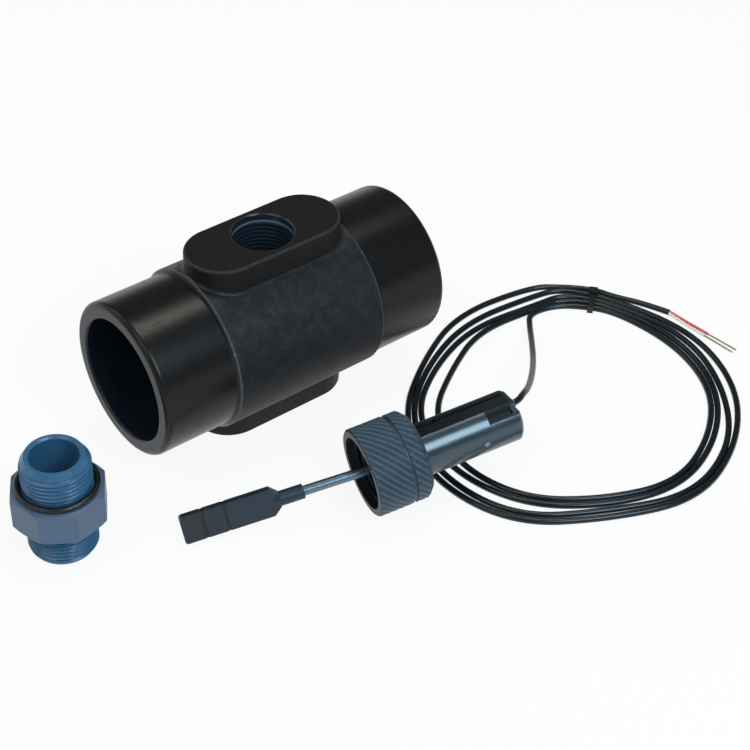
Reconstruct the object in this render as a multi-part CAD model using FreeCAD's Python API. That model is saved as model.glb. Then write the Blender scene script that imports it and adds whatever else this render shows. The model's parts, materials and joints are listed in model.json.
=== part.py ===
"""Paddle flow switch kit: a pipe tee, a threaded nipple and a sensor insert with its cable.

Millimetres, +Z up. The origin is the centre of the tee's pipe bore, under the sensor port, and +X runs along
the pipe. The three loose pieces stand on one flat surface, the plane of the tee's foot.
"""
import FreeCAD, Part
import math
import os

# Tee
pipe_length = 133.0
pipe_outside = 63.0
pipe_bore = 50.0
pipe_end_round = 2.2
bore_edge_round = 1.0
ring_outside = 66.0
ring_margin = 0.5
ring_step = 1.2
pad_length = 67.0
pad_width = 30.0
pad_height = 40.5
pad_edge_round = 1.1
pad_root_round = 1.5

# Pipe thread shared by the port, the nipple and the union nut
thread_outside = 26.44
thread_inside = 24.12
thread_lead = 1.3
port_mouth = 25.0
port_mouth_depth = 0.45

# Nipple, standing on its nut end
nipple_place = (-110.0, -24.0)
nipple_turn = 35.5
nipple_bore = 18.3
nut_thread_length = 15.7
wrench_sides = 8
wrench_across_flats = 34.0
wrench_height = 13.3
wrench_chamfer = 0.9
port_thread_length = 15.0
relief_width = 1.6
relief_depth = 0.6
rim_taper = 1.9
ring_section = 2.2
ring_inside = 27.2
ring_room = 0.2

# Sensor insert: depths run from the union nut's mouth towards the cable
insert_place = (-10.35, -76.15)
insert_heading = -13.8
insert_tilt = 7.4
insert_roll = 102.0
nut_outside = 35.2
nut_length = 22.6
nut_mouth = 28.8
nut_mouth_depth = 3.2
nut_rear_chamfer = 2.2
nut_front_chamfer = 0.6
nut_groove_depth = 14.2
nut_groove_width = 1.3
nut_groove_cut = 0.8
nut_clearance = 0.35
nose_clearance = 0.35
nose_front = 5.5
nose_chamfer = 1.0
flange_depth = 15.0
flange_clearance = 0.16
flange_thickness = 4.0
seal_thickness = 1.5
seal_clearance = 0.15
housing_diameter = 20.6
housing_end = 64.0
housing_wall = 1.8
housing_end_wall = 2.1
housing_end_round = 1.2
front_wall = 3.0
floor_rise = 2.5
gate_pip_diameter = 2.4
gate_pip_height = 0.4
gate_pip_inset = 16.2
gate_pip_angle = 99.0

# Snap cover and its two clips
cover_drop = 1.37
cover_rim = 0.18
cover_thickness = 1.6
cover_clearance = 0.05
cover_ledge = 0.7
cover_far_rim = 1.0
cover_groove_width = 1.2
cover_groove_depth = 0.8
cover_groove_inset = 1.5
end_wall_drop = 1.5
ledge_height = 2.3
clip_thickness = 1.2
clip_reach = 2.1
clip_rear_length = 10.2
clip_rear_inset = 1.1
clip_front_length = 4.6
clip_front_inset = 6.6
clip_front_notch = 2.9
clip_clearance = 0.15

# Lever, pivot and magnets
pivot_depth = 9.5
pivot_diameter = 2.0
pivot_hole_clearance = 0.02
pivot_eye_clearance = 0.05
pin_inset = 0.4
lever_lean = 6.7
head_thickness = 6.0
head_clearance = 0.15
head_boss = 6.8
head_width = 5.8
head_reach = 4.2
tail_width = 5.2
tail_reach = 5.3
slot_gap = 0.25
magnet_diameter = 3.0
magnet_length = 3.0
magnet_clearance = 0.02
return_magnet_offset = 4.2
rod_diameter = 3.9
rod_start = 1.7
rod_clearance = 0.02
neck_diameter = 5.8
neck_start = 32.35
neck_length = 12.5
neck_socket = 9.0
blade_width = 12.2
blade_length = 35.0
blade_thickness = 2.6
blade_shoulder = 3.2
blade_corner = 0.8
score_spacing = 8.6
score_width = 1.1
score_depth = 0.35

# Reed contact and its board
board_side_gap = 0.5
board_front_gap = 1.0
board_thickness = 1.2
board_length = 31.0
reed_diameter = 2.2
reed_length = 14.0
reed_lift = 0.4
reed_wire = 0.6
reed_wire_reach = 2.4
reed_edge = 0.3

# Cable, grommet and tie
cable_diameter = 2.6
cable_height = 4.2
grommet_shank = 4.5
grommet_flange = 5.2
grommet_flange_thickness = 0.9
grommet_collar = 5.2
grommet_tip = 3.8
grommet_reach = 1.0
grommet_clearance = 0.03
core_diameter = 1.2
core_gap = 0.04
core_board_inset = 2.0
core_end_diameter = 0.8
coil_centre = (95.2, -80.4)
coil_step = 30.0
coil_inside = (58.5, 64.1, 60.8, 54.8, 50.7, 54.7, 57.7, 58.8, 56.3, 57.0, 54.5, 56.1)
coil_outside = (71.2, 74.0, 78.7, 70.5, 64.5, 69.3, 77.0, 73.6, 68.0, 70.4, 68.5, 69.4)
tie_angle = 39.7
tie_width = 2.5
tie_band = 0.6
tie_clearance = 0.1
tie_lock = (4.0, 3.6, 1.0)
tie_lock_inset = 1.2

# Cable routes over the floor, from the housing to the coil and from the coil to the cut end
floor = -pad_height
cable_rest = floor + cable_diameter / 2
lead_route = (
    (59.4, -89.8, -11.2), (65.9, -83.4, -14.8), (78.0, -72.9, -22.0),
    (92.6, -59.0, -29.8), (105.7, -44.0, -35.4), (114.4, -33.4, -38.6),
    (121.8, -26.8, cable_rest), (133.2, -28.3, cable_rest), (141.7, -34.7, cable_rest),
)
lead_first_reach = 3.4
tail_route = (
    (151.8, -30.2, cable_rest), (159.5, -39.5, cable_rest),
    (165.8, -50.5, cable_rest), (170.2, -62.0, cable_rest),
)
core_rest = floor + core_diameter / 2
red_route = ((172.3, -71.5, core_rest), (173.4, -82.0, core_rest))
white_route = ((170.6, -72.0, core_rest), (171.4, -82.0, core_rest))
core_end_length = 15.0

radii = {
    "pipe": pipe_outside / 2,
    "ring": ring_outside / 2,
    "thread": thread_outside / 2,
    "housing": housing_diameter / 2,
}
ring_length = pad_length + 2 * ring_margin
wrench_top = nut_thread_length + wrench_height
nipple_height = wrench_top + port_thread_length
nose_diameter = nipple_bore - 2 * nose_clearance
flange_diameter = thread_inside - 2 * flange_clearance
flange_rear = flange_depth + flange_thickness
slot_bottom = pivot_depth + math.hypot(tail_reach, tail_width / 2) + slot_gap
cavity_radius = radii["housing"] - housing_wall
cavity_floor = floor_rise - cavity_radius
cavity_front = flange_rear + front_wall
cavity_end = housing_end - housing_end_wall
cover_flat = radii["housing"] - cover_drop
cover_under = cover_flat - cover_thickness
cover_width = 2 * (math.sqrt(radii["housing"] ** 2 - cover_flat ** 2) - cover_rim)
seat_edges = (-cover_width / 2 - cover_clearance, cover_width / 2 - cover_far_rim)
plate_edges = (-cover_width / 2, seat_edges[1] - cover_clearance)
throat_edges = (plate_edges[0] + cover_ledge, plate_edges[1] - cover_ledge)
board_front = cavity_front + board_front_gap
board_width = 2 * (math.sqrt(cavity_radius ** 2 - cavity_floor ** 2) - board_side_gap)
board_top = cavity_floor + board_thickness
reed_front = board_front + reed_wire_reach + reed_edge
cable_inner_end = cavity_end - grommet_flange_thickness
core_board_depth = board_front + board_length - core_board_inset


def vec(x, y, z):
    return FreeCAD.Vector(x, y, z)


def cylinder(diameter, start, end, x=0.0, y=0.0):
    """Round bar along Z between two depths."""
    return Part.makeCylinder(diameter / 2, end - start, vec(x, y, start))


def block(x_span, y_span, z_span):
    """Box between three pairs of limits."""
    low = vec(x_span[0], y_span[0], z_span[0])
    return Part.makeBox(x_span[1] - x_span[0], y_span[1] - y_span[0], z_span[1] - z_span[0], low)


def turned(profile):
    """Solid turned about Z from a closed outline of (radius, depth) corners."""
    corners = [vec(radius, 0, depth) for radius, depth in profile]
    face = Part.Face(Part.makePolygon(corners + corners[:1]))
    return face.revolve(vec(0, 0, 0), vec(0, 0, 1), 360)


def prism(corners, direction):
    """Straight extrusion of a closed outline."""
    face = Part.Face(Part.makePolygon(list(corners) + [corners[0]]))
    return face.extrude(direction)


def round_edges(solid, radius, chosen):
    """Fillet the edges that a test picks."""
    return solid.makeFillet(radius, [edge for edge in solid.Edges if chosen(edge)])


def flat_at(edge, axis, place):
    """True for an edge that lies wholly in the plane axis = place."""
    box = edge.BoundBox
    low, high = {"x": (box.XMin, box.XMax), "z": (box.ZMin, box.ZMax)}[axis]
    return abs(low - place) < 1e-4 and abs(high - place) < 1e-4


def insert_placement():
    """Where the insert lies: local X upstream, local Y out of the cover, local Z towards the cable."""
    heading = math.radians(insert_heading)
    tilt = math.radians(insert_tilt)
    roll = math.radians(insert_roll)
    front = vec(math.sin(heading), -math.cos(heading), 0)
    rear = vec(math.cos(heading) * math.cos(tilt), math.sin(heading) * math.cos(tilt), math.sin(tilt))
    upright = front.cross(rear)
    cover_side = front * math.cos(roll) + upright * math.sin(roll)
    upstream = cover_side.cross(rear)
    mouth_height = floor + nut_outside / 2 * math.cos(tilt) - nut_front_chamfer * math.sin(tilt)
    return FreeCAD.Placement(FreeCAD.Matrix(
        upstream.x, cover_side.x, rear.x, insert_place[0],
        upstream.y, cover_side.y, rear.y, insert_place[1],
        upstream.z, cover_side.z, rear.z, mouth_height,
    ))


insert = insert_placement()


def on_insert(shape):
    """Lay a shape of the insert's own frame where the insert lies."""
    placed = shape.copy()
    placed.Placement = insert.multiply(placed.Placement)
    return placed


def on_lever(shape):
    """Lean a shape of the lever's own frame, tip along -Z from the pivot, and lay it in the insert."""
    shape = shape.copy()
    shape.rotate(vec(0, 0, 0), vec(0, 1, 0), -lever_lean)
    shape.translate(vec(0, 0, pivot_depth))
    return on_insert(shape)


def make_tee_body():
    """Moulded tee: spigots and ring turned about the pipe, with port pad and foot as one upright slab."""
    half = pipe_length / 2
    half_ring = ring_length / 2
    outline = [
        (-half, 0), (-half, radii["pipe"]),
        (-half_ring - ring_step, radii["pipe"]), (-half_ring, radii["ring"]),
        (half_ring, radii["ring"]), (half_ring + ring_step, radii["pipe"]),
        (half, radii["pipe"]), (half, 0),
    ]
    corners = [vec(x, 0, radius) for x, radius in outline]
    face = Part.Face(Part.makePolygon(corners + corners[:1]))
    pipe = face.revolve(vec(0, 0, 0), vec(1, 0, 0), 360)
    straight = pad_length / 2 - pad_width / 2
    slab = block((-straight, straight), (-pad_width / 2, pad_width / 2), (-pad_height, pad_height))
    for end in (-straight, straight):
        slab = slab.fuse(cylinder(pad_width, -pad_height, pad_height, x=end))
    slab = slab.removeSplitter()
    for height in (-pad_height, pad_height):
        slab = round_edges(slab, pad_edge_round, lambda edge: flat_at(edge, "z", height))
    for end in (-half, half):
        pipe = round_edges(pipe, pipe_end_round, lambda edge: flat_at(edge, "x", end))
    tee = pipe.fuse(slab).removeSplitter()
    root_low = math.sqrt(radii["ring"] ** 2 - (pad_width / 2) ** 2) - 0.1
    tee = round_edges(tee, pad_root_round, lambda edge: on_pad_root(edge, root_low))
    bore = Part.makeCylinder(pipe_bore / 2, pipe_length, vec(-half, 0, 0), vec(1, 0, 0))
    tee = tee.cut(bore)
    for end in (-half, half):
        tee = round_edges(tee, bore_edge_round, lambda edge: flat_at(edge, "x", end) and is_bore_edge(edge))
    mouth_start = pad_height - port_mouth_depth
    tee = tee.cut(cylinder(thread_inside, 0, pad_height))
    mouth = Part.makeCone(thread_inside / 2, port_mouth / 2, port_mouth_depth, vec(0, 0, mouth_start))
    return tee.cut(mouth)


def on_pad_root(edge, root_low):
    """True for an edge where the pad's or the foot's wall meets the middle ring."""
    box = edge.BoundBox
    height = (box.ZMin + box.ZMax) / 2
    inside_ring = box.ZMax < radii["ring"] + 0.1 and box.ZMin > -radii["ring"] - 0.1
    return inside_ring and abs(height) > root_low and box.YLength < pad_width + 0.1 and not is_ring_edge(box)


def is_ring_edge(box):
    """True for a box that lies on one of the ring's or spigots' own circles."""
    return box.XLength < 1e-3


def is_bore_edge(edge):
    """True for a circle of the pipe's bore."""
    return abs(edge.BoundBox.ZMax - pipe_bore / 2) < 0.01


def make_nipple_body():
    """Double nipple: an eight-sided wrench body between two thread cylinders, with a tapered upper rim."""
    bore = nipple_bore / 2
    crest = radii["thread"]
    relief = crest - relief_depth
    lower_end = nut_thread_length - relief_width
    upper_start = wrench_top + ring_section + ring_room
    shank = turned([
        (bore, 0), (crest - thread_lead, 0), (crest, thread_lead), (crest, lower_end), (relief, lower_end),
        (relief, upper_start), (crest, upper_start), (crest, nipple_height - rim_taper),
        (crest - thread_lead, nipple_height), (bore, nipple_height),
    ])
    flat = wrench_across_flats / 2
    corner = flat / math.cos(math.pi / wrench_sides)
    corners = []
    for side in range(wrench_sides):
        angle = 2 * math.pi * side / wrench_sides
        corners.append(vec(corner * math.cos(angle), corner * math.sin(angle), nut_thread_length))
    wrench_body = prism(corners, vec(0, 0, wrench_height))
    blank = turned([
        (bore, nut_thread_length), (flat, nut_thread_length), (corner, nut_thread_length + wrench_chamfer),
        (corner, wrench_top - wrench_chamfer), (flat, wrench_top), (bore, wrench_top),
    ])
    return on_nipple(shank.fuse(wrench_body.common(blank)).removeSplitter())


def make_nipple_o_ring():
    """Round rubber ring slipped over the upper thread, lying on the wrench body."""
    middle = (ring_inside + ring_section) / 2
    return on_nipple(Part.makeTorus(middle, ring_section / 2, vec(0, 0, wrench_top + ring_section / 2)))


def on_nipple(shape):
    """Stand a shape of the nipple's own frame where the nipple stands."""
    shape.rotate(vec(0, 0, 0), vec(0, 0, 1), nipple_turn)
    shape.translate(vec(nipple_place[0], nipple_place[1], floor))
    return shape


def make_sensor_body():
    """Insert moulding: slotted nose, sealing flange and round trough with a flat, open side for the cover."""
    nose = nose_diameter / 2
    flange = flange_diameter / 2
    housing = radii["housing"]
    outer = turned([
        (0, nose_front), (nose - nose_chamfer, nose_front), (nose, nose_front + nose_chamfer),
        (nose, flange_depth), (flange, flange_depth), (flange, flange_rear),
        (housing, flange_rear), (housing, housing_end - housing_end_round),
        (housing - housing_end_round, housing_end), (0, housing_end),
    ])
    wide = housing_diameter
    outer = outer.cut(block((-wide, wide), (cover_flat, wide), (flange_rear, housing_end + 1)))
    trough = cylinder(2 * cavity_radius, cavity_front, cavity_end)
    trough = trough.common(block((-wide, wide), (cavity_floor, cover_under - ledge_height), (0, housing_end)))
    throat = block(throat_edges, (0, cover_under), (cavity_front, cavity_end))
    seat = block(seat_edges, (cover_under, wide), (cavity_front, cavity_end))
    end_step = block((-wide, wide), (cover_flat - end_wall_drop, wide), (cavity_end, housing_end + 1))
    body = outer.cut(trough).cut(throat).cut(seat).cut(end_step)
    for side, edge, depths, window_end, window_top in clip_places():
        across = sorted((edge - side * cover_ledge, side * wide))
        body = body.cut(block(across, (cover_under - ledge_height, window_top), (depths[0], window_end)))
    slot_half = head_thickness / 2 + head_clearance
    slot = block((-wide, wide), (-slot_half, slot_half), (nose_front, slot_bottom))
    body = body.cut(slot.common(cylinder(nose_diameter, nose_front, slot_bottom)))
    pin_hole = pivot_diameter / 2 + pivot_hole_clearance
    body = body.cut(Part.makeCylinder(pin_hole, wide, vec(0, -wide / 2, pivot_depth), vec(0, 1, 0)))
    pocket = magnet_diameter + 2 * magnet_clearance
    body = body.cut(cylinder(pocket, cavity_front - magnet_length, cavity_front, x=-return_magnet_offset))
    body = body.cut(cylinder(grommet_shank + 2 * grommet_clearance, cavity_end, housing_end, y=cable_height))
    pip_out = vec(-math.sin(math.radians(gate_pip_angle)), math.cos(math.radians(gate_pip_angle)), 0)
    pip_base = pip_out * (radii["housing"] - housing_wall / 2) + vec(0, 0, housing_end - gate_pip_inset)
    pip = Part.makeCylinder(gate_pip_diameter / 2, housing_wall / 2 + gate_pip_height, pip_base, pip_out)
    return on_insert(body.fuse(pip))


def clip_places():
    """Side, cover's edge and depths of each clip, and the rear end and top of its window in the housing.

    The rear window is open upwards and to the rear; the front one lies under the housing's far rim."""
    rear_end = cavity_end - clip_rear_inset
    front_start = cavity_front + clip_front_inset
    front_end = front_start + clip_front_length
    front_edge = plate_edges[1] - clip_front_notch
    return (
        (-1, plate_edges[0], (rear_end - clip_rear_length, rear_end), housing_end + 1, housing_diameter),
        (1, front_edge, (front_start, front_end), front_end, cover_under),
    )


def make_housing_cover():
    """Flat snap cover on the trough's ledges, with a groove along it and a clip down into each window."""
    ends = (cavity_front + cover_clearance, cavity_end - cover_clearance)
    cover = block(plate_edges, (cover_under, cover_flat), ends)
    groove_end = plate_edges[1] - cover_groove_inset
    groove = (groove_end - cover_groove_width, groove_end)
    cover = cover.cut(block(groove, (cover_flat - cover_groove_depth, housing_diameter), ends))
    foot = cover_under - ledge_height + clip_clearance
    for side, edge, depths, window_end, window_top in clip_places():
        if side > 0:
            cover = cover.cut(block((edge, housing_diameter), (0, housing_diameter), depths))
        inner = edge - side * (cover_ledge - clip_clearance)
        reach = sorted((inner, side * (cover_width / 2 + clip_reach)))
        inside = (depths[0] + clip_clearance, depths[1] - clip_clearance)
        web = block(sorted((inner, edge)), (foot, cover_under + cover_groove_depth / 2), inside)
        cover = cover.fuse(web).fuse(block(reach, (foot, foot + clip_thickness), inside))
    return on_insert(cover.removeSplitter())


def make_union_nut():
    """Union nut: threaded mouth, lip that draws on the flange, groove round the grip and chamfered edges."""
    outer = nut_outside / 2
    thread = thread_inside / 2
    lip = radii["housing"] + nut_clearance
    lip_start = flange_rear + nut_clearance
    mouth = nut_mouth / 2
    groove = outer - nut_groove_cut
    return on_insert(turned([
        (mouth, 0), (outer - nut_front_chamfer, 0), (outer, nut_front_chamfer),
        (outer, nut_groove_depth), (groove, nut_groove_depth), (groove, nut_groove_depth + nut_groove_width),
        (outer, nut_groove_depth + nut_groove_width), (outer, nut_length - nut_rear_chamfer),
        (outer - nut_rear_chamfer, nut_length), (lip, nut_length), (lip, lip_start), (thread, lip_start),
        (thread, nut_mouth_depth), (mouth, nut_mouth_depth),
    ]))


def make_flange_seal():
    """Flat rubber ring on the flange's front face, round the nose."""
    inside = nose_diameter / 2 + seal_clearance
    start = flange_depth - seal_thickness
    outside = flange_diameter / 2
    return on_insert(turned([
        (inside, start), (outside, start), (outside, flange_depth), (inside, flange_depth),
    ]))


def make_pivot_pin():
    """Pin across the nose's slot, just short of the nose's surface at both ends."""
    half = math.sqrt((nose_diameter / 2) ** 2 - (pivot_diameter / 2) ** 2) - pin_inset
    start = vec(0, -half, pivot_depth)
    return on_insert(Part.makeCylinder(pivot_diameter / 2, 2 * half, start, vec(0, 1, 0)))


def make_lever_head():
    """Lever head: boss round the pin, tail with the magnet's pocket and a socket for the rod."""
    half_thick = (-head_thickness / 2, head_thickness / 2)
    boss = Part.makeCylinder(head_boss / 2, head_thickness, vec(0, half_thick[0], 0), vec(0, 1, 0))
    head = boss.fuse(block((-tail_width / 2, tail_width / 2), half_thick, (0, tail_reach)))
    head = head.fuse(block((-head_width / 2, head_width / 2), half_thick, (-head_reach, 0))).removeSplitter()
    eye = pivot_diameter / 2 + pivot_eye_clearance
    head = head.cut(Part.makeCylinder(eye, 2 * head_thickness, vec(0, -head_thickness, 0), vec(0, 1, 0)))
    head = head.cut(cylinder(rod_diameter + 2 * rod_clearance, -head_reach, -rod_start))
    pocket = magnet_diameter + 2 * magnet_clearance
    head = head.cut(cylinder(pocket, tail_reach - magnet_length, tail_reach))
    return on_lever(head)


def make_lever_rod():
    """Round rod from the lever head's socket to the paddle's socket."""
    return on_lever(cylinder(rod_diameter, -neck_start - neck_socket, -rod_start))


def make_paddle_blade():
    """Flat paddle with sloped shoulders, a socket neck that fades into it and score lines for cutting it."""
    shoulder = -neck_start - neck_length
    tip = shoulder - blade_length
    half = blade_width / 2
    half_neck = neck_diameter / 2
    half_thick = blade_thickness / 2
    outline = [
        (-half_neck, shoulder + blade_shoulder), (-half, shoulder), (-half, tip + blade_corner),
        (-half + blade_corner, tip), (half - blade_corner, tip), (half, tip + blade_corner),
        (half, shoulder), (half_neck, shoulder + blade_shoulder),
    ]
    blade = prism([vec(-half_thick, y, z) for y, z in outline], vec(blade_thickness, 0, 0))
    for score in (1, 2):
        middle = tip + score * score_spacing
        band = (middle - score_width / 2, middle + score_width / 2)
        for face in (-half_thick, half_thick):
            blade = blade.cut(block((face - score_depth, face + score_depth), (-half, half), band))
    neck = cylinder(neck_diameter, shoulder + blade_shoulder, -neck_start)
    fade = Part.makeCone(half_thick, half_neck, blade_shoulder, vec(0, 0, shoulder))
    blade = blade.fuse([neck, fade]).removeSplitter()
    socket = cylinder(rod_diameter + 2 * rod_clearance, -neck_start - neck_socket, -neck_start)
    return on_lever(blade.cut(socket))


def make_lever_magnet():
    """Round magnet in the tail of the lever's head."""
    return on_lever(cylinder(magnet_diameter, tail_reach - magnet_length, tail_reach))


def make_return_magnet():
    """Round magnet in the wall behind the slot, on the side that the lever's tail leans to."""
    start = cavity_front - magnet_length
    return on_insert(cylinder(magnet_diameter, start, cavity_front, x=-return_magnet_offset))


def make_reed_board():
    """Board on the flat floor of the trough."""
    half = board_width / 2
    depths = (board_front, board_front + board_length)
    return on_insert(block((-half, half), (cavity_floor, board_top), depths))


def make_reed_glass():
    """Glass capsule of the reed contact, held over the board by its wires."""
    middle = board_top + reed_lift + reed_diameter / 2
    return on_insert(cylinder(reed_diameter, reed_front, reed_front + reed_length, y=middle))


def make_reed_leads():
    """The contact's two wires, from the ends of the glass down to the board."""
    middle = board_top + reed_lift + reed_diameter / 2
    ends = ((reed_front, -1), (reed_front + reed_length, 1))
    leads = []
    for start, way in ends:
        outer = start + way * reed_wire_reach
        run = cylinder(reed_wire, min(start, outer), max(start, outer), y=middle)
        leg_top = middle + reed_wire / 2
        leg_place = vec(0, board_top, outer - way * reed_wire / 2)
        leg = Part.makeCylinder(reed_wire / 2, leg_top - board_top, leg_place, vec(0, 1, 0))
        leads.append(on_insert(run.fuse(leg)))
    return Part.makeCompound(leads)


def make_cable_grommet():
    """Sleeve in the housing's end wall: inner flange, shank and short tapered collar."""
    hole = cable_diameter / 2 + grommet_clearance
    start = cavity_end - grommet_flange_thickness
    sleeve = turned([
        (hole, start), (grommet_flange / 2, start), (grommet_flange / 2, cavity_end),
        (grommet_shank / 2, cavity_end), (grommet_shank / 2, housing_end),
        (grommet_collar / 2, housing_end), (grommet_tip / 2, housing_end + grommet_reach),
        (hole, housing_end + grommet_reach),
    ])
    sleeve.translate(vec(0, cable_height, 0))
    return on_insert(sleeve)


def rounded_path(points):
    """Straight runs joined by tangent arcs, each as large as its two runs allow."""
    points = [vec(*point) for point in points]
    edges = []
    start = points[0]
    for before, corner, after in zip(points, points[1:], points[2:]):
        into = (corner - before).normalize()
        out = (after - corner).normalize()
        turn = into.getAngle(out)
        reach = 0.45 * min((corner - before).Length, (after - corner).Length)
        radius = reach / math.tan(turn / 2)
        print("bend radius %.1f mm, turn %.0f degrees" % (radius, math.degrees(turn)))
        arc_start = corner - into * reach
        arc_end = corner + out * reach
        inward = (out - into).normalize()
        arc_middle = corner + inward * (radius / math.cos(turn / 2) - radius)
        edges.append(Part.LineSegment(start, arc_start).toShape())
        edges.append(Part.Arc(arc_start, arc_middle, arc_end).toShape())
        start = arc_end
    edges.append(Part.LineSegment(start, points[-1]).toShape())
    return Part.Wire(edges)


def tube(points, diameter):
    """Round tube along a route."""
    path = rounded_path(points)
    way = vec(*points[1]) - vec(*points[0])
    section = Part.Wire(Part.makeCircle(diameter / 2, vec(*points[0]), way))
    solid = path.makePipeShell([section], True, False)
    print("tube %.2f of section times length" % (solid.Volume / (math.pi * diameter ** 2 / 4 * path.Length)))
    return solid


def in_insert(x, y, depth):
    """A point of the insert's own frame, in the kit's frame."""
    return tuple(insert.multVec(vec(x, y, depth)))


def make_cable_lead():
    """Cable from inside the housing, through the grommet and down to the coil."""
    first_bend = in_insert(0, cable_height, housing_end + lead_first_reach)
    return tube([in_insert(0, cable_height, cable_inner_end), first_bend] + list(lead_route), cable_diameter)


def coil_outline(distances):
    """Closed smooth outline on the floor, through one distance from the coil's centre at each step."""
    points = []
    for index, distance in enumerate(distances):
        angle = math.radians(index * coil_step)
        x = coil_centre[0] + distance * math.cos(angle)
        y = coil_centre[1] + distance * math.sin(angle)
        points.append(vec(x, y, floor))
    curve = Part.BSplineCurve()
    curve.interpolate(points, PeriodicFlag=True)
    return Part.Wire(curve.toShape())


def make_cable_coil():
    """Outer shape of the loose flat coil."""
    outside = Part.Face(coil_outline(coil_outside)).extrude(vec(0, 0, cable_diameter))
    inside = Part.Face(coil_outline(coil_inside)).extrude(vec(0, 0, cable_diameter))
    return outside.cut(inside)


def make_cable_tail():
    """Cable from the coil to its cut end."""
    return tube(tail_route, cable_diameter)


def turns_under_tie(half_width):
    """Nearest and farthest distance from the coil's centre that the cable has under the tie."""
    turns = make_cable_coil().fuse(make_cable_tail())
    turns.translate(vec(-coil_centre[0], -coil_centre[1], -floor))
    turns.rotate(vec(0, 0, 0), vec(0, 0, 1), -tie_angle)
    far = 2 * max(coil_outside)
    box = turns.common(block((0, far), (-half_width, half_width), (0, cable_diameter))).optimalBoundingBox()
    return box.XMin, box.XMax


def make_cable_tie():
    """Strap round the coil's turns, lying on the floor with them, with its lock on the upper side."""
    half = tie_width / 2
    nearest, farthest = turns_under_tie(half)
    hollow_span = (nearest - tie_clearance, farthest + tie_clearance)
    span = (hollow_span[0] - tie_band, hollow_span[1] + tie_band)
    under = cable_diameter + tie_clearance
    top = under + tie_band
    strap = block(span, (-half, half), (0, top)).cut(block(hollow_span, (-half, half), (0, under)))
    half_lock = tie_lock[1] / 2
    lock_end = span[1] - tie_lock_inset
    lock = block((lock_end - tie_lock[0], lock_end), (-half_lock, half_lock), (under, top + tie_lock[2]))
    strap = strap.fuse(lock).removeSplitter()
    strap.rotate(vec(0, 0, 0), vec(0, 0, 1), tie_angle)
    strap.translate(vec(coil_centre[0], coil_centre[1], floor))
    return strap


def make_core(side, route):
    """One insulated wire: its end inside the housing and its end past the cut jacket."""
    spread = side * (core_diameter + core_gap) / 2
    inner = tube([
        in_insert(spread, cable_height, cable_inner_end),
        in_insert(spread, cable_height, core_board_depth),
        in_insert(spread, board_top, core_board_depth),
    ], core_diameter)
    end = vec(*tail_route[-1])
    along = (end - vec(*tail_route[-2])).normalize()
    across = along.cross(vec(0, 0, 1))
    outer = tube([tuple(end - across * spread)] + list(route), core_diameter).cut(make_cable_tail())
    return Part.makeCompound([inner] + outer.Solids)


def make_core_ends():
    """Bare ends of the two wires."""
    ends = []
    for route in (red_route, white_route):
        tip = vec(*route[-1])
        along = (tip - vec(*route[-2])).normalize()
        ends.append(Part.makeCylinder(core_end_diameter / 2, core_end_length, tip, along))
    return Part.makeCompound(ends)


nodes = {
    "tee_body": make_tee_body,
    "nipple_body": make_nipple_body,
    "nipple_o_ring": make_nipple_o_ring,
    "sensor_body": make_sensor_body,
    "housing_cover": make_housing_cover,
    "union_nut": make_union_nut,
    "flange_seal": make_flange_seal,
    "pivot_pin": make_pivot_pin,
    "lever_head": make_lever_head,
    "lever_rod": make_lever_rod,
    "paddle_blade": make_paddle_blade,
    "lever_magnet": make_lever_magnet,
    "return_magnet": make_return_magnet,
    "reed_board": make_reed_board,
    "reed_glass": make_reed_glass,
    "reed_leads": make_reed_leads,
    "cable_grommet": make_cable_grommet,
    "cable_lead": make_cable_lead,
    "cable_coil": make_cable_coil,
    "cable_tail": make_cable_tail,
    "cable_tie": make_cable_tie,
    "red_core": lambda: make_core(1, red_route),
    "white_core": lambda: make_core(-1, white_route),
    "core_ends": make_core_ends,
}

os.makedirs("parts", exist_ok=True)
for name, make in nodes.items():
    shape = make()
    state = "valid" if shape.isValid() else "NOT VALID"
    print(name, state, len(shape.Solids), "solids, %.1f mm3" % shape.Volume)
    shape.exportStep("parts/%s.step" % name)
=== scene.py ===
import json
import math

import bmesh
import bpy
from mathutils import Matrix, Vector


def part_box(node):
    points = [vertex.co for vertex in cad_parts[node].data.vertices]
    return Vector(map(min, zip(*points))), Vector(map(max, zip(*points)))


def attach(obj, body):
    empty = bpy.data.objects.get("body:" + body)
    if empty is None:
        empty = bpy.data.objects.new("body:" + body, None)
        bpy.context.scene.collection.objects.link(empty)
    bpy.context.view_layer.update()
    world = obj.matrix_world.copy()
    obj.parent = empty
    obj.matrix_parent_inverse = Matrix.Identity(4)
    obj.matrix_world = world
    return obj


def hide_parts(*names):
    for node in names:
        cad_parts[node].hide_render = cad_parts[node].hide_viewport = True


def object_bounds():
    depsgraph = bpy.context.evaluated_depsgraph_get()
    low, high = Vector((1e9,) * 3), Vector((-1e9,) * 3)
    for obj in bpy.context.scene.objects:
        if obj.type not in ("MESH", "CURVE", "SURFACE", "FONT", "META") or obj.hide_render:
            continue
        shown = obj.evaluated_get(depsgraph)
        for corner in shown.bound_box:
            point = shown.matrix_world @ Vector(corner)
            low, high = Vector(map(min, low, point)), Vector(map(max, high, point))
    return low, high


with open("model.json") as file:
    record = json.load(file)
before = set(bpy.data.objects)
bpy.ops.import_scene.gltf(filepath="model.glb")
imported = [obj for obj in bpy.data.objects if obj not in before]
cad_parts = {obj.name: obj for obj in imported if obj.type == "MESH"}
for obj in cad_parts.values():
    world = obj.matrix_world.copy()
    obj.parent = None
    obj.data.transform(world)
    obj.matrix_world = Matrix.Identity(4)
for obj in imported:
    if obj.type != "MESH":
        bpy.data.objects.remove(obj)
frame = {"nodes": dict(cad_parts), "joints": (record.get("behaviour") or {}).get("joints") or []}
cad_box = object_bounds()


camera_place = (-0.33592, -0.47993, 0.45378)
camera_heading = -39.32
camera_dip = 39.57
camera_lean = 1.44

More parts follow.
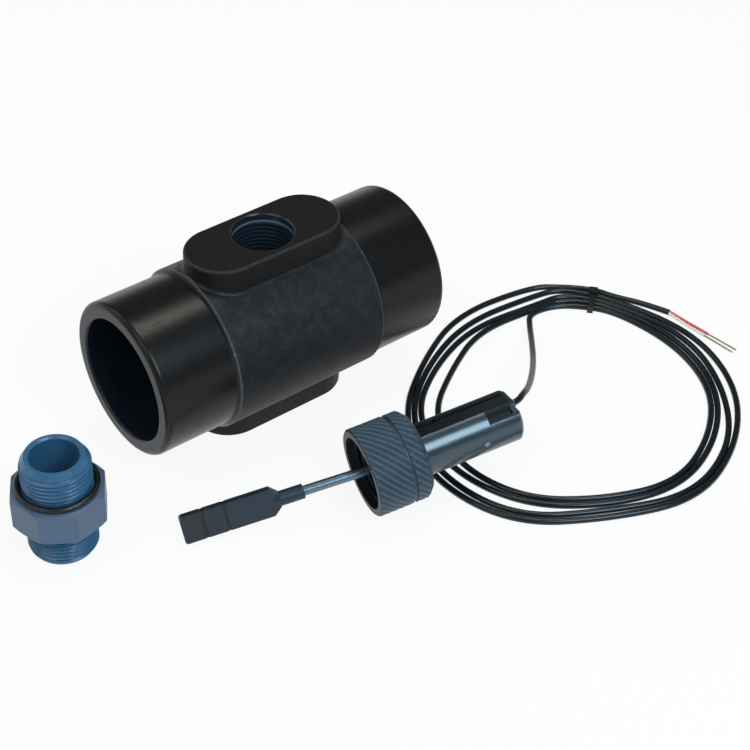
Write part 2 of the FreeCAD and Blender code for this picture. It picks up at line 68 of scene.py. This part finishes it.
scene = bpy.context.scene
scene.view_settings.view_transform = "Standard"
lens = bpy.data.cameras.new("camera")
lens.lens = 89.82
lens.sensor_width = 36.0
camera = bpy.data.objects.new("camera", lens)
heading = Matrix.Rotation(math.radians(camera_heading), 4, "Z")
downwards = Matrix.Rotation(math.radians(90.0 - camera_dip), 4, "X")
lean = Matrix.Rotation(math.radians(camera_lean), 4, "Z")
camera.matrix_world = Matrix.Translation(camera_place) @ heading @ downwards @ lean
scene.collection.objects.link(camera)
scene.camera = camera


# The table top is a plain white sheet. It is white to the camera and in reflections, and keeps a soft
# shadow under the pieces.
class Field:
    """A value over a surface: arithmetic on it adds Math nodes, and node() adds any other node."""

    def __init__(self, tree, socket=None):
        self.tree = tree
        self.socket = socket

    def node(self, kind, settings, sockets, output=0):
        made = self.tree.nodes.new(kind)
        for name, value in settings.items():
            setattr(made, name, value)
        for name, value in sockets.items():
            if isinstance(value, Field):
                self.tree.links.new(value.socket, made.inputs[name])
            else:
                made.inputs[name].default_value = value
        return Field(self.tree, made.outputs[output] if made.outputs else None)

    def math(self, operation, other=0.0):
        return self.node("ShaderNodeMath", {"operation": operation}, {0: self, 1: other})

    def __add__(self, other):
        return self.math("ADD", other)

    def __sub__(self, other):
        return self.math("SUBTRACT", other)

    def __rsub__(self, other):
        return self.node("ShaderNodeMath", {"operation": "SUBTRACT"}, {0: other, 1: self})

    def __mul__(self, other):
        return self.math("MULTIPLY", other)

    def __truediv__(self, other):
        return self.math("DIVIDE", other)

    __radd__ = __add__
    __rmul__ = __mul__


def ramp(field, low, high):
    """Zero below low, one above high and smooth between; low may be the larger."""
    sockets = {"Value": field, "From Min": low, "From Max": high}
    return field.node("ShaderNodeMapRange", {"interpolation_type": "SMOOTHSTEP"}, sockets)


def axis_of(place, number):
    """One coordinate of a place: 0 along x, 1 along y and 2 upwards."""
    return place.node("ShaderNodeSeparateXYZ", {}, {"Vector": place}, number)


def seen_directly(start):
    """One for rays from the camera, a mirror or glass, and zero for light that falls on things."""
    kinds = ("Is Camera Ray", "Is Glossy Ray", "Is Transmission Ray")
    rays = [start.node("ShaderNodeLightPath", {}, {}, kind) for kind in kinds]
    return rays[0].math("MAXIMUM", rays[1]).math("MAXIMUM", rays[2])


white = (1.0, 1.0, 1.0, 1.0)
table_pale = (0.9, 0.9, 0.9, 1.0)
table_glow = 0.9
table_half_width = 4.0

table_finish = bpy.data.materials.new("table_white")
table_finish.use_nodes = True
table_finish.node_tree.nodes.clear()
table_start = Field(table_finish.node_tree)
table_matte = table_start.node("ShaderNodeBsdfDiffuse", {}, {"Color": table_pale})
table_white = table_start.node("ShaderNodeEmission", {}, {"Color": white, "Strength": 1.0})
table_share = seen_directly(table_start) * table_glow
table_surface = table_start.node("ShaderNodeMixShader", {}, {0: table_share, 1: table_matte, 2: table_white})
table_start.node("ShaderNodeOutputMaterial", {}, {"Surface": table_surface})

table_shape = bmesh.new()
bmesh.ops.create_grid(table_shape, x_segments=1, y_segments=1, size=table_half_width)
bmesh.ops.translate(table_shape, vec=(0.0, 0.0, cad_box[0].z), verts=table_shape.verts)
table_mesh = bpy.data.meshes.new("table_top")
table_shape.to_mesh(table_mesh)
table_shape.free()
table_mesh.materials.append(table_finish)
table_top = bpy.data.objects.new("table_top", table_mesh)
scene.collection.objects.link(table_top)

sky_low_down = 1.0
sky_overhead = 0.14
pale_below = 0.03
dim_above = 0.16

sky = bpy.data.worlds.new("pale_sky")
sky.use_nodes = True
sky.node_tree.nodes.clear()
sky_start = Field(sky.node_tree)
sky_way = sky_start.node("ShaderNodeTexCoord", {}, {}, "Generated")
low_down = ramp(axis_of(sky_way, 2), dim_above, pale_below)
sky_strength = low_down * (sky_low_down - sky_overhead) + sky_overhead
sky_light = sky_start.node("ShaderNodeBackground", {}, {"Color": white, "Strength": sky_strength})
sky_start.node("ShaderNodeOutputWorld", {}, {"Surface": sky_light})
scene.world = sky

lamp_target = Vector((0.02, -0.05, 0.0))


def soft_lamp(name, place, size, power, colour):
    light = bpy.data.lights.new(name, "AREA")
    light.size = size
    light.energy = power
    light.color = colour
    lamp = bpy.data.objects.new(name, light)
    aim = lamp_target - Vector(place)
    lamp.matrix_world = Matrix.Translation(place) @ aim.to_track_quat("-Z", "Y").to_matrix().to_4x4()
    scene.collection.objects.link(lamp)


soft_lamp("lamp_above", (0.385, 0.143, 1.285), 0.4, 4.5, (1.0, 0.93, 0.82))
soft_lamp("lamp_window", (0.02, -0.90, 0.85), 0.55, 9.0, (0.74, 0.90, 1.0))
soft_lamp("lamp_left", (-0.9, -0.1, 1.0), 0.8, 4.5, (1.0, 0.95, 0.88))
soft_lamp("lamp_back", (-0.55, 0.85, 0.75), 0.8, 2.5, (1.0, 1.0, 1.0))


# The tee is moulded in one piece in black plastic. Its two spigots are satin, the ring and the pads have
# a spark-eroded grain from the mould, and the port in the upper pad has a pipe thread cut into it. Light is
# painted into its colour in places: the bore and the port are lighter and bluish as a painted cool
# reflection, a pale arc is a painted highlight where the port's thread starts, and the ring's shoulders and
# the pads' top edges carry painted highlights.
def new_finish(name):
    """A new material, its shader, and where each point lies on the piece."""
    material = bpy.data.materials.new(name)
    material.use_nodes = True
    tree = material.node_tree
    place = tree.nodes.new("ShaderNodeTexCoord")
    return material, tree.nodes["Principled BSDF"], Field(tree, place.outputs["Object"])


def feed(shader, **fields):
    """Links fields to the shader's sockets, with an underscore for each blank in a socket's name."""
    for name, field in fields.items():
        field.tree.links.new(field.socket, shader.inputs[name.replace("_", " ")])


def grain(place, size, detail=2.0):
    """Soft noise from 0 to 1, with clouds of about that size in metres."""
    return place.node("ShaderNodeTexNoise", {}, {"Vector": place, "Scale": 1.0 / size, "Detail": detail})


def tint(share, first, second):
    """A colour between two, each a colour or a field."""
    ends = [end if isinstance(end, Field) else (*end, 1.0) for end in (first, second)]
    return share.node("ShaderNodeMix", {"data_type": "RGBA"}, {0: share, 6: ends[0], 7: ends[1]}, 2)


def dent(height, depth):
    """A bumpy skin whose height runs from 0 to 1 over that depth in metres."""
    return height.node("ShaderNodeBump", {}, {"Height": height, "Distance": depth, "Strength": 1.0})


def from_axis(first, second):
    """How far points lie from an axis, by their two offsets across it."""
    return (first * first + second * second).math("SQRT")


def near(field, value, inside, outside):
    """One where a field is within inside of that value, and zero beyond outside."""
    return ramp((field - value).math("ABSOLUTE"), outside, inside)


def dress(node, material):
    """Gives a finish to a piece that keeps its solid's shape."""
    for holder in frame["nodes"][node].material_slots:
        holder.material = material


ring_half_length = 0.0341
ring_radius = 0.033
pipe_radius = 0.0315
bore_radius = 0.025
pad_top = 0.0405
pad_half_straight = 0.0185
pad_edge_middle = 0.0146
port_radius = 0.0125
port_bottom = 0.018
port_thread_top = 0.0372
thread_pitch = 0.001814
sheen_from = -0.002
sheen_full = 0.018
deepest_mark = 0.0006

tee_black, tee_shader, tee_place = new_finish("tee_black")
tee_shader.inputs["Specular IOR Level"].default_value = 0.25
tee_shader.inputs["Coat Roughness"].default_value = 0.34
along, across, height = [axis_of(tee_place, number) for number in range(3)]
from_bore = from_axis(across, height)
from_port = from_axis(along, across)
in_port = ramp(from_port, port_radius + 0.0002, port_radius) * ramp(height, port_bottom, port_bottom + 0.002)
in_bore = ramp(from_bore, bore_radius + 0.0006, bore_radius + 0.0002)
from_middle = along.math("ABSOLUTE")
on_ring = ramp(from_middle, ring_half_length, ring_half_length - 0.0004)
on_shoulder = near(from_middle, ring_half_length, 0.0002, 0.0007)
ring_edge = on_shoulder * ramp(from_bore, ring_radius - 0.0008, ring_radius - 0.0002)
# A pale arc is painted as a highlight where the port's thread starts.
thread_start = in_port * near(height, port_thread_top, 0.0003, 0.0007)
past_straight = (from_middle - pad_half_straight).math("MAXIMUM", 0.0)
from_pad_line = from_axis(past_straight, across)
on_pad_edge = near(from_pad_line, pad_edge_middle, 0.0002, 0.0007)
pad_edge = on_pad_edge * ramp(height, pad_top - 0.0013, pad_top - 0.0007)
# Painted highlights run along the ring's shoulder edges and, weaker, along the pads' top edges.
painted_edge_highlights = ring_edge + 0.3 * pad_edge

grained = on_ring * ramp(from_bore, pipe_radius, pipe_radius + 0.0004) * (1.0 - in_port)
spark_grain = grain(tee_place, 0.0007, 3.0)
specks = ramp(spark_grain, 0.56, 0.70)
mottle = ramp(grain(tee_place, 0.004, 6.0), 0.36, 0.70)
ring_skin = grained * ramp(from_bore, ring_radius + 0.0010, ring_radius + 0.0003)
ring_sheen = ring_skin * ramp(height, sheen_from, sheen_full)
flow_marks = grain(tee_place, 0.02, 4.0)
scuffs = ramp(grain(tee_place, 0.0025, 6.0), 0.58, 0.72)
screw = height / thread_pitch - across.math("ARCTAN2", along) / math.tau
thread_wave = screw.math("PINGPONG", 0.5) * 2.0 * ramp(height, port_thread_top, port_thread_top - 0.0008)

satin_black = tint(flow_marks, (0.0040, 0.0042, 0.0050), (0.0070, 0.0074, 0.0084))
pad_black = tint(specks, (0.0030, 0.0033, 0.0036), (0.0110, 0.0120, 0.0130))
ring_black = tint(mottle, (0.0020, 0.0032, 0.0048), (0.0050, 0.0085, 0.0120))
speckled_black = tint(specks, ring_black, (0.0120, 0.0190, 0.0260))
grained_black = tint(ring_skin, pad_black, speckled_black)
outside_black = tint(grained, satin_black, grained_black)
# The bore and the port are painted lighter and bluish, a painted cool reflection on the black.
bore_painted_reflection = tint(flow_marks, (0.0055, 0.0100, 0.0180), (0.0090, 0.0150, 0.0250))
port_painted_reflection = tint(flow_marks, (0.0100, 0.0200, 0.0320), (0.0180, 0.0320, 0.0480))
# The port's colour with the painted highlight arc at its thread start.
port_with_painted_arc = tint(thread_start, port_painted_reflection, (0.14, 0.17, 0.20))
# The tone of the painted edge highlights, mottled by the scuff noise.
edge_highlight_tone = tint(scuffs, (0.055, 0.062, 0.070), (0.130, 0.142, 0.155))
lined_black = tint(in_port, tint(in_bore, outside_black, bore_painted_reflection), port_with_painted_arc)
feed(
    tee_shader,
    Base_Color=tint(painted_edge_highlights, lined_black, edge_highlight_tone),
    Roughness=0.26 + 0.08 * flow_marks + 0.08 * scuffs + 0.26 * grained - 0.06 * in_port,
    Coat_Weight=ring_sheen * (0.14 + 0.22 * mottle),
    Normal=dent(grained * spark_grain * 0.35 + 0.6 * in_port * thread_wave + 0.02 * flow_marks, deepest_mark),
)
dress("tee_body", tee_black)


# The nipple is turned from blue-grey plastic bar: a pipe thread at each end, an eight-sided wrench body
# between them, and a bore right through. It stands on its lower end beside the tee. The sizes of turned
# shapes are in millimetres.
millimetre = 0.001
thread_root = 12.06
thread_depth = 1.16
steps_in_pitch = 7.0
sharp_edge = math.radians(38.0)


def turned(sides, loops):
    """A closed ring of loops round an upright axis, in millimetres.

    Each loop is (height, radius, twist); a height or radius may be a function of the angle."""
    shape = bmesh.new()
    angle_of = shape.verts.layers.float.new("angle")
    verts = bmesh.ops.create_circle(shape, segments=sides, radius=1.0)["verts"]
    for vert in verts:
        vert[angle_of] = math.atan2(vert.co.y, vert.co.x)
    edges = first_edges = shape.edges[:]
    for number, (height, radius, twist) in enumerate(loops):
        if number:
            grown = bmesh.ops.extrude_edge_only(shape, edges=edges)["geom"]
            verts = [part for part in grown if isinstance(part, bmesh.types.BMVert)]
            edges = [part for part in grown if isinstance(part, bmesh.types.BMEdge)]
        for vert in verts:
            angle = vert[angle_of]
            reach = radius(angle) if callable(radius) else radius
            level = height(angle) if callable(height) else height
            vert.co = (reach * math.cos(angle + twist), reach * math.sin(angle + twist), level)
    bmesh.ops.bridge_loops(shape, edges=first_edges + edges)
    bmesh.ops.recalc_face_normals(shape, faces=shape.faces)
    return shape


def thread_loops(start, end, twist=0.0):
    """Loops of a right-hand pipe thread from one height to another, which fades out at both ends."""
    pitch = thread_pitch / millimetre
    count = round(abs(end - start) / pitch * steps_in_pitch)
    loops = []
    for step in range(count + 1):
        level = start + (end - start) * step / count
        fade = min(1.0, abs(level - start) / pitch, abs(end - level) / pitch)

        def radius(angle, level=level, fade=fade):
            turn = level / pitch - (angle + twist) / math.tau
            return thread_root + thread_depth * fade * (0.5 - 0.5 * math.cos(math.tau * turn))

        loops.append((level, radius, twist))
    return loops


def finished(name, shape, placement, material):
    """The piece as an object in metres, with its place in its mesh."""
    bmesh.ops.transform(shape, matrix=placement @ Matrix.Scale(millimetre, 4), verts=shape.verts)
    mesh = bpy.data.meshes.new(name)
    shape.to_mesh(mesh)
    shape.free()
    mesh.shade_smooth()
    mesh.set_sharp_from_angle(angle=sharp_edge)
    mesh.materials.append(material)
    piece = bpy.data.objects.new(name, mesh)
    scene.collection.objects.link(piece)
    return piece


nipple_sides = 96
nipple_height = 44.0
nipple_bore = 9.15
bore_chamfer = 0.7
bore_rim = nipple_bore + bore_chamfer
lower_rim = 11.7
lower_thread = (0.6, 14.2)
lower_neck = 14.4
upper_neck = 30.6
upper_thread = (30.8, 42.3)
upper_rim = 11.0
neck_radius = 12.3
wrench_sides = 8
wrench_bottom = 15.7
wrench_top = 29.0
wrench_flat = 17.0
wrench_edge = 0.15
wrench_face_radius = 17.1
wrench_slope = math.tan(math.radians(30.0))


def wrench_reach(angle):
    """How far the wrench body's flats lie from its axis at an angle."""
    return wrench_flat / math.cos(angle % (math.tau / wrench_sides) - math.pi / wrench_sides)


def wrench_face(angle):
    """How far the level end of the wrench body reaches, within its chamfer."""
    return min(wrench_reach(angle) - wrench_edge, wrench_face_radius)


def wrench_chamfer(angle):
    """How high the chamfer is, which is more at the corners than on the flats."""
    return wrench_slope * (wrench_reach(angle) - wrench_face(angle))


def wrench_lower_edge(angle):
    return wrench_bottom + wrench_chamfer(angle)


def wrench_upper_edge(angle):
    return wrench_top - wrench_chamfer(angle)


nipple_loops = [(nipple_height - bore_chamfer, nipple_bore, 0.0), (bore_chamfer, nipple_bore, 0.0)]
nipple_loops += [(0.0, bore_rim, 0.0), (0.0, lower_rim, 0.0)]
nipple_loops += thread_loops(*lower_thread)
nipple_loops += [(lower_neck, neck_radius, 0.0), (wrench_bottom, neck_radius, 0.0)]
nipple_loops += [(wrench_bottom, wrench_face, 0.0), (wrench_lower_edge, wrench_reach, 0.0)]
nipple_loops += [(wrench_upper_edge, wrench_reach, 0.0), (wrench_top, wrench_face, 0.0)]
nipple_loops += [(wrench_top, neck_radius, 0.0), (upper_neck, neck_radius, 0.0)]
nipple_loops += thread_loops(*upper_thread)
nipple_loops += [(nipple_height, upper_rim, 0.0), (nipple_height, bore_rim, 0.0)]

nipple_low, nipple_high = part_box("nipple_body")
nipple_middle = (nipple_low + nipple_high) / 2.0
past_thread = 0.0138
well_past_thread = 0.0145
nipple_blue, nipple_shader, nipple_place = new_finish("nipple_blue")
nipple_shader.inputs["Specular IOR Level"].default_value = 0.4
nipple_x = axis_of(nipple_place, 0) - nipple_middle.x
nipple_y = axis_of(nipple_place, 1) - nipple_middle.y
on_wrench = ramp(from_axis(nipple_x, nipple_y), past_thread, well_past_thread)
nipple_cloud = grain(nipple_place, 0.006, 5.0)
nipple_wear = ramp(grain(nipple_place, 0.0012, 4.0), 0.56, 0.72)
thread_blue = tint(nipple_cloud, (0.023, 0.100, 0.200), (0.043, 0.150, 0.285))
wrench_blue = tint(nipple_cloud, (0.054, 0.104, 0.172), (0.082, 0.142, 0.226))
turned_blue = tint(on_wrench, thread_blue, wrench_blue)
feed(
    nipple_shader,
    Base_Color=tint(nipple_wear * 0.25, turned_blue, (0.13, 0.20, 0.28)),
    Roughness=0.24 + 0.10 * on_wrench + 0.12 * nipple_cloud + 0.10 * nipple_wear,
    Normal=dent(nipple_wear, 0.00002),
)
nipple_seat = Matrix.Translation((nipple_middle.x, nipple_middle.y, nipple_low.z))
nipple_turn = Matrix.Rotation(math.radians(35.5), 4, "Z")
nipple_shape = turned(nipple_sides, nipple_loops)
nipple = finished("threaded_nipple", nipple_shape, nipple_seat @ nipple_turn, nipple_blue)
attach(nipple, "nipple")
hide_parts("nipple_body")


# Two seals are moulded in black rubber: a round ring slipped over the nipple's upper thread down to the
# wrench body, and a flat ring in front of the insert's flange.
seal_rubber, seal_shader, seal_place = new_finish("seal_rubber")
bloom = grain(seal_place, 0.0016, 4.0)
feed(
    seal_shader,
    Base_Color=tint(bloom, (0.003, 0.0035, 0.0045), (0.007, 0.008, 0.010)),
    Roughness=0.20 + 0.2 * bloom,
    Normal=dent(grain(seal_place, 0.0003), 0.00003),
)
dress("nipple_o_ring", seal_rubber)
dress("flange_seal", seal_rubber)


# The insert is moulded in dark grey plastic: a slotted nose, a flange, and a round trough for the reed
# contact that a flat snap cover closes. Both have a satin skin. They are one plastic, but the trough is a
# lighter copy of it, painted light on its side, and the cover a darker copy, painted shade on its top. A
# small pale spot is painted round the trough's moulding pip.
joints = {joint["name"]: joint for joint in frame["joints"]}
mouth = Vector(joints["nut_spin"]["pos_m"])
rear = Vector(joints["nut_spin"]["axis"])
cover_side = Vector(joints["paddle_swing"]["axis"])
upstream = cover_side.cross(rear)


def in_insert(side, lift, depth):
    """A point by its place in the insert, from the middle of the nut's mouth."""
    return mouth + upstream * side + cover_side * lift + rear * depth


def vectors(first, operation, second=(0.0, 0.0, 0.0), output="Vector"):
    """Vector maths on a field of places and one more vector."""
    return first.node("ShaderNodeVectorMath", {"operation": operation}, {0: first, 1: second}, output)


# Reflections on the insert, cover, paddle, nut and cable are tinted blue by this colour, a painted cool
# light.
painted_cool_reflection = (0.77, 0.91, 1.0, 1.0)
cloud_size = 0.008


def moulded(name, dark, pale, roughness, skin_size, shine=white):
    """Moulded plastic whose colour clouds a little between two tones, over a fine skin."""
    material, shader, place = new_finish(name)
    shader.inputs["Specular Tint"].default_value = shine
    cloud = grain(place, cloud_size, 4.0)
    skin = grain(place, skin_size, 3.0)
    feed(
        shader,
        Base_Color=tint(cloud, dark, pale),
        Roughness=roughness + 0.12 * cloud + 0.08 * skin,
        Normal=dent(skin, skin_size * 0.012),
    )
    return material


moulding_pip = in_insert(-0.0106, -0.0017, 0.0478)
pip_radius = 0.0010

insert_grey, insert_shader, insert_place = new_finish("insert_grey")
insert_shader.inputs["Specular IOR Level"].default_value = 1.0
insert_shader.inputs["Specular Tint"].default_value = painted_cool_reflection
# A small pale spot is painted round the moulding pip.
from_pip = vectors(insert_place, "DISTANCE", moulding_pip, "Value")
on_pip = ramp(from_pip, pip_radius + 0.0005, pip_radius)
insert_cloud = grain(insert_place, cloud_size, 4.0)
insert_skin = grain(insert_place, 0.0008, 3.0)
# The trough is a lighter copy of the cover's plastic, painted light on its side.
satin_grey_painted_light = tint(insert_cloud, (0.0130, 0.0280, 0.0400), (0.0200, 0.0400, 0.0560))
feed(
    insert_shader,
    Base_Color=tint(on_pip, satin_grey_painted_light, (0.16, 0.21, 0.25)),
    Roughness=0.15 + 0.12 * insert_cloud + 0.06 * insert_skin,
    Normal=dent(insert_skin, 0.000015),
)
dress("sensor_body", insert_grey)
# The cover is a darker copy of the same plastic, painted shade on its top.
cover_dark_painted_shade = (0.0050, 0.0080, 0.0105)
cover_pale_painted_shade = (0.0080, 0.0120, 0.0155)
cover_grey_painted_shade = moulded("cover_grey_painted_shade", cover_dark_painted_shade, cover_pale_painted_shade, 0.20, 0.0008, painted_cool_reflection)
dress("housing_cover", cover_grey_painted_shade)


# Inside the insert, a reed contact in a glass capsule is soldered on a green board beside a return magnet.
# The lever that carries the other magnet turns on a steel pin in the nose.
board_green = moulded("board_green", (0.010, 0.060, 0.025), (0.016, 0.085, 0.036), 0.30, 0.0005)
dress("reed_board", board_green)
magnet_dark = moulded("magnet_dark", (0.020, 0.019, 0.018), (0.036, 0.034, 0.032), 0.50, 0.0004)
dress("lever_magnet", magnet_dark)
dress("return_magnet", magnet_dark)

reed_glass, glass_shader, glass_place = new_finish("reed_glass")
glass_shader.inputs["Transmission Weight"].default_value = 0.85
glass_ripple = grain(glass_place, 0.002)
feed(
    glass_shader,
    Base_Color=tint(glass_ripple, (0.62, 0.80, 0.66), (0.74, 0.90, 0.78)),
    Roughness=0.05 + 0.06 * glass_ripple,
    Normal=dent(glass_ripple, 0.00004),
)
dress("reed_glass", reed_glass)


def drawn_metal(name, dark, pale, roughness, line_size):
    """Drawn or ground metal, with fine lines that vary its colour and dull it."""
    material, shader, place = new_finish(name)
    shader.inputs["Metallic"].default_value = 1.0
    lines = grain(place, line_size, 6.0)
    feed(
        shader,
        Base_Color=tint(lines, dark, pale),
        Roughness=roughness + 0.15 * lines,
        Normal=dent(lines, line_size * 0.03),
    )
    return material


steel = drawn_metal("steel", (0.12, 0.17, 0.22), (0.19, 0.26, 0.33), 0.30, 0.0007)
dress("pivot_pin", steel)
dress("lever_rod", steel)
tinned_copper = drawn_metal("tinned_copper", (0.30, 0.25, 0.16), (0.62, 0.57, 0.46), 0.28, 0.0005)
dress("reed_leads", tinned_copper)
dress("core_ends", tinned_copper)


# The lever's head and the paddle are moulded in blue-grey plastic. The paddle is pushed onto the steel rod,
# and two score lines across it show where it is cut for smaller pipes.
near_score = 0.0628
far_score = 0.0714
tip_fade_start = 0.058
tip_fade_end = 0.074
lever_pivot = Vector(joints["paddle_swing"]["pos_m"])

paddle_grey, paddle_shader, paddle_place = new_finish("paddle_grey")
paddle_shader.inputs["Specular Tint"].default_value = painted_cool_reflection
from_pivot = vectors(paddle_place, "DISTANCE", lever_pivot, "Value")
# The score lines are painted almost black, a painted shade in their grooves.
score_lines = [near(from_pivot, score, 0.0004, 0.0009) for score in (far_score, near_score)]
in_score = score_lines[0].math("MAXIMUM", score_lines[1])
paddle_cloud = grain(paddle_place, cloud_size, 4.0)
paddle_skin = grain(paddle_place, 0.0006, 3.0)
blade_grey = tint(paddle_cloud, (0.008, 0.018, 0.030), (0.013, 0.027, 0.043))
tip_grey = tint(ramp(from_pivot, tip_fade_start, tip_fade_end), blade_grey, (0.016, 0.017, 0.022))
feed(
    paddle_shader,
    Base_Color=tint(0.7 * in_score, tip_grey, (0.005, 0.005, 0.007)),
    Roughness=0.32 + 0.12 * paddle_cloud + 0.10 * paddle_skin,
    Normal=dent(paddle_skin, 0.00001),
)
dress("lever_head", paddle_grey)
dress("paddle_blade", paddle_grey)


# The union nut is moulded in grey plastic with a knurl of slanting ribs, a smooth groove round it and a
# pipe thread inside. It turns freely behind the insert's flange. The furrows between its ribs are painted
# darker, and the inside of its mouth and its front face almost black, as painted shade.
rib_count = 32
rib_cut = 0.65
rib_slant = math.radians(3.9)
rib_steps = (0.0, 0.2, 0.75, 1.0, 1.0, 0.75, 0.2, 0.0)
nut_outside = 17.6
nut_length = 22.6
mouth_radius = 14.4
mouth_depth = 3.2
front_rim = 16.9
rear_rim = 15.4
first_rib = 0.6
last_rib = 20.4
groove_start = 14.2
groove_end = 15.5
groove_radius = 16.8
groove_slope = 0.2
lip_radius = 10.65
lip_start = 19.35
thread_run_in = 0.2


def rib_height(angle):
    """The height of the ribs at an angle, from 0 in a furrow to 1 on a crest."""
    return rib_steps[round(angle / math.tau * rib_count * len(rib_steps)) % len(rib_steps)]


def ribbed(angle):
    return nut_outside - rib_cut * (1.0 - rib_height(angle))


def rib_band(start, end, rows):
    """Rows of the knurl from one depth to another, so that the ribs can slant."""
    return [(start + (end - start) * step / rows, ribbed) for step in range(rows + 1)]


nut_profile = [(0.0, mouth_radius), (0.0, front_rim)]
nut_profile += rib_band(first_rib, groove_start, rows=16)
nut_profile += [(groove_start + groove_slope, groove_radius), (groove_end - groove_slope, groove_radius)]
nut_profile += rib_band(groove_end, last_rib, rows=6)
nut_profile += [(nut_length, rear_rim), (nut_length, lip_radius), (lip_start, lip_radius)]
full_slant = rib_slant * last_rib
nut_loops = [(depth, radius, rib_slant * min(depth, last_rib)) for depth, radius in nut_profile]
nut_loops += thread_loops(lip_start, mouth_depth + thread_run_in, full_slant)
nut_loops += [(mouth_depth, thread_root, full_slant), (mouth_depth, mouth_radius, full_slant)]

nut_grey, nut_shader, nut_place = new_finish("nut_grey")
nut_shader.inputs["Specular Tint"].default_value = painted_cool_reflection
from_mouth = vectors(nut_place, "SUBTRACT", mouth)
nut_depth = vectors(from_mouth, "DOT_PRODUCT", rear, "Value")
from_nut_axis = vectors(vectors(from_mouth, "CROSS_PRODUCT", rear), "LENGTH", output="Value")
on_crest = ramp(from_nut_axis, (nut_outside - rib_cut) * millimetre, nut_outside * millimetre)
inside_nut = ramp(from_nut_axis, mouth_radius * millimetre + 0.0003, mouth_radius * millimetre)
on_front = ramp(nut_depth, 0.0003, 0.0001)
nut_cloud = grain(nut_place, 0.006, 4.0)
nut_skin = grain(nut_place, 0.0005, 3.0)
# The furrows are painted darker than the crests, a painted shade.
rib_grey_shaded_furrows = tint(on_crest, (0.021, 0.041, 0.059), (0.049, 0.100, 0.146))
nut_outside_grey = tint(nut_cloud * 0.4, rib_grey_shaded_furrows, (0.030, 0.054, 0.074))
# The inside of the mouth and the front face are painted almost black, a painted shade.
feed(
    nut_shader,
    Base_Color=tint(inside_nut.math("MAXIMUM", on_front), nut_outside_grey, (0.007, 0.009, 0.012)),
    Roughness=0.36 + 0.12 * nut_cloud + 0.08 * nut_skin,
    Normal=dent(nut_skin, 0.00002),
)
nut_seat = Matrix.Translation(mouth) @ Matrix((upstream, cover_side, rear)).transposed().to_4x4()
nut_shape = turned(rib_count * len(rib_steps), nut_loops)
nut = finished("knurled_nut", nut_shape, nut_seat, nut_grey)
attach(nut, "nut")
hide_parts("union_nut")


# The cable is a thin black two-core lead. It leaves the housing through a pale sleeve, drops to the table,
# runs four loose turns clockwise under one tie, and ends in two bare cores.
cable_radius = 0.0013
cable_rest = cad_box[0].z + cable_radius
sleeve_lift = 0.0042
lead_points = [
    in_insert(0.0, sleeve_lift, 0.0610), in_insert(0.0, sleeve_lift, 0.0667),
    (0.0597, -0.0877, -0.0114), (0.0659, -0.0837, -0.0148), (0.0782, -0.0732, -0.0220),
    (0.0927, -0.0591, -0.0298), (0.1058, -0.0441, -0.0354), (0.1145, -0.0335, -0.0386),
    (0.1209, -0.0261, cable_rest), (0.1332, -0.0283, cable_rest), (0.1417, -0.0347, cable_rest),
]
coil_centre = Vector((0.0952, -0.0804, cable_rest))
turn_angles = (30, 0, -30, -60, -90, -120, -150, -180, -210, -240, -270, -300, -310)
turn_radii = (
    (63.5, 59.1, 57.5, 55.5, 58.3, 56.0, 60.3, 59.7, 55.4, 50.4, 56.4, 61.5, 67.1),
    (66.3, 62.7, 60.1, 58.4, 60.8, 59.7, 63.5, 63.8, 62.5, 57.4, 59.7, 63.7, 70.3),
    (68.6, 66.7, 62.6, 64.3, 66.8, 62.4, 71.1, 69.3, 64.9, 60.4, 64.0, 69.8, 74.3),
    (71.0, 70.8, 68.1, 66.5, 69.7, 66.3, 74.6, 73.0, 67.5, 63.0, 70.2, 76.1, 75.6),
)
tail_points = [
    (0.1553, -0.0301, cable_rest), (0.1590, -0.0398, cable_rest),
    (0.1658, -0.0505, cable_rest), (0.1702, -0.0620, cable_rest),
]

# The turns' radii are in millimetres. The smooth line runs inside the points that guide it, so those points
# stand out by this share.
spline_cut = 0.9665
coil_points = []
for radii in turn_radii:
    for degrees, radius in zip(turn_angles, radii):
        angle = math.radians(degrees)
        reach = radius * millimetre / spline_cut
        coil_points.append(coil_centre + Vector((reach * math.cos(angle), reach * math.sin(angle), 0.0)))

cable_curve = bpy.data.curves.new("two_core_cable", "CURVE")
cable_curve.dimensions = "3D"
cable_curve.bevel_depth = cable_radius
cable_curve.bevel_resolution = 5
cable_curve.resolution_u = 10
cable_curve.use_fill_caps = True
cable_line = cable_curve.splines.new("NURBS")
cable_points = lead_points + coil_points + tail_points
cable_line.points.add(len(cable_points) - 1)
for point, place in zip(cable_line.points, cable_points):
    point.co = (*place, 1.0)
cable_line.order_u = 3
cable_line.use_endpoint_u = True

cable_black = moulded("cable_black", (0.002, 0.004, 0.006), (0.005, 0.009, 0.013), 0.18, 0.0003, painted_cool_reflection)
cable_curve.materials.append(cable_black)
cable = bpy.data.objects.new("two_core_cable", cable_curve)
scene.collection.objects.link(cable)
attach(cable, "sensor")
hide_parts("cable_lead", "cable_coil", "cable_tail")


# The small pieces on the cable: the pale sleeve in the housing's end, the black tie round the turns, and
# the coloured skins of the two cores.
grommet_pale = moulded("grommet_pale", (0.40, 0.41, 0.41), (0.55, 0.56, 0.56), 0.40, 0.0005)
dress("cable_grommet", grommet_pale)
tie_black = moulded("tie_black", (0.004, 0.005, 0.006), (0.009, 0.010, 0.011), 0.32, 0.0005)
dress("cable_tie", tie_black)
core_red = moulded("core_red", (0.60, 0.085, 0.075), (0.74, 0.150, 0.130), 0.34, 0.0004)
dress("red_core", core_red)
core_white = moulded("core_white", (0.74, 0.73, 0.71), (0.84, 0.83, 0.81), 0.36, 0.0004)
dress("white_core", core_white)
